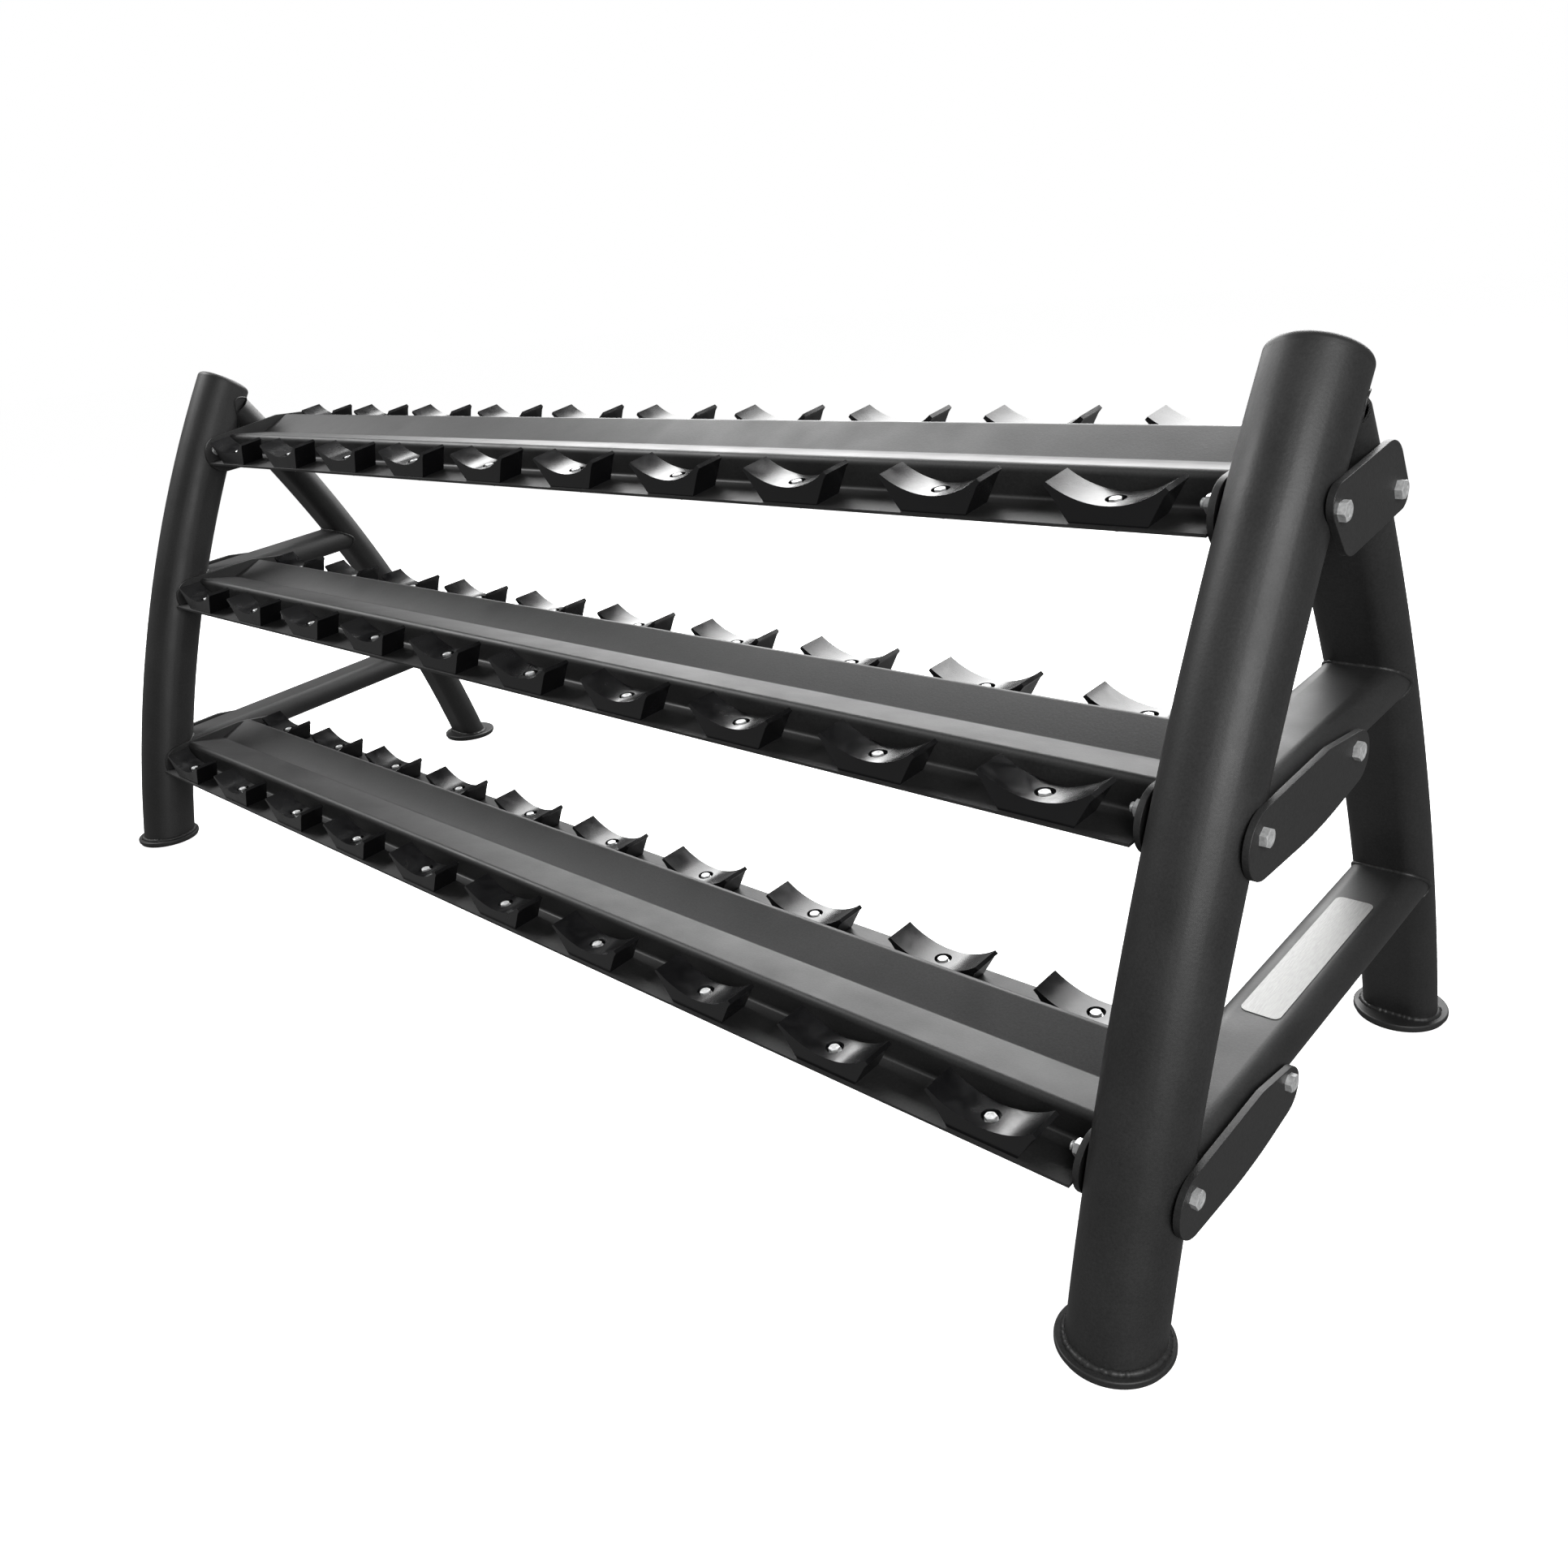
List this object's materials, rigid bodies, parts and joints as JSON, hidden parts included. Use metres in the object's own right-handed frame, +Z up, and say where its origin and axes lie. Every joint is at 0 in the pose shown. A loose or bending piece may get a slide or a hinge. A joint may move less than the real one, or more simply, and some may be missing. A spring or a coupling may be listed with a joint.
{
  "type": "dumbbell rack",
  "caption": "Three-tier steel dumbbell rack: bent tubular end frames joined by folded sheet shelves that carry two rows of moulded plastic saddles each.",
  "frame": {"origin": "on the floor, midway between the four feet", "axes": "+X along the rack towards the end with the name plate, +Y to the back, +Z up"},
  "size_m": [2.61, 0.964, 1.0098],
  "materials": {
    "frame_paint": "matte charcoal powder coat on steel tube and plate",
    "shelf_paint": "matte charcoal powder coat on folded steel sheet",
    "foot_paint": "matte charcoal powder coat on steel discs",
    "cap_plastic": "moulded black polyethylene, fine grain",
    "saddle_plastic": "moulded black plastic, semi-gloss",
    "pad_rubber": "dense black rubber",
    "zinc": "bright zinc plating on steel fasteners",
    "brushed": "brushed metal, blank, lines along its length"
  },
  "bodies": {
    "root": {"left_upright": "frame_paint", "left_rear_leg": "frame_paint", "left_lower_rung": "frame_paint", "left_middle_rung": "frame_paint", "left_upright_cap": "cap_plastic", "left_front_foot_plate": "foot_paint", "left_front_foot_pad": "pad_rubber", "left_rear_foot_plate": "foot_paint", "left_rear_foot_pad": "pad_rubber", "left_lower_outer_plate": "frame_paint", "left_lower_inner_plate": "frame_paint", "left_middle_outer_plate": "frame_paint", "left_middle_inner_plate": "frame_paint", "left_top_outer_plate": "frame_paint", "left_top_inner_plate": "frame_paint", "right_upright": "frame_paint", "right_rear_leg": "frame_paint", "right_lower_rung": "frame_paint", "right_middle_rung": "frame_paint", "right_upright_cap": "cap_plastic", "right_front_foot_plate": "foot_paint", "right_front_foot_pad": "pad_rubber", "right_rear_foot_plate": "foot_paint", "right_rear_foot_pad": "pad_rubber", "right_lower_outer_plate": "frame_paint", "right_lower_inner_plate": "frame_paint", "right_middle_outer_plate": "frame_paint", "right_middle_inner_plate": "frame_paint", "right_top_outer_plate": "frame_paint", "right_top_inner_plate": "frame_paint", "lower_shelf": "shelf_paint", "lower_front_saddles": "saddle_plastic", "lower_rear_saddles": "saddle_plastic", "middle_shelf": "shelf_paint", "middle_front_saddles": "saddle_plastic", "middle_rear_saddles": "saddle_plastic", "top_shelf": "shelf_paint", "top_front_saddles": "saddle_plastic", "top_rear_saddles": "saddle_plastic", "saddle_screws": "zinc", "saddle_washers": "zinc", "saddle_nuts": "zinc", "frame_bolts": "zinc", "frame_washers": "zinc", "frame_nuts": "zinc", "name_plate": "brushed"}
  },
  "joints": []
}
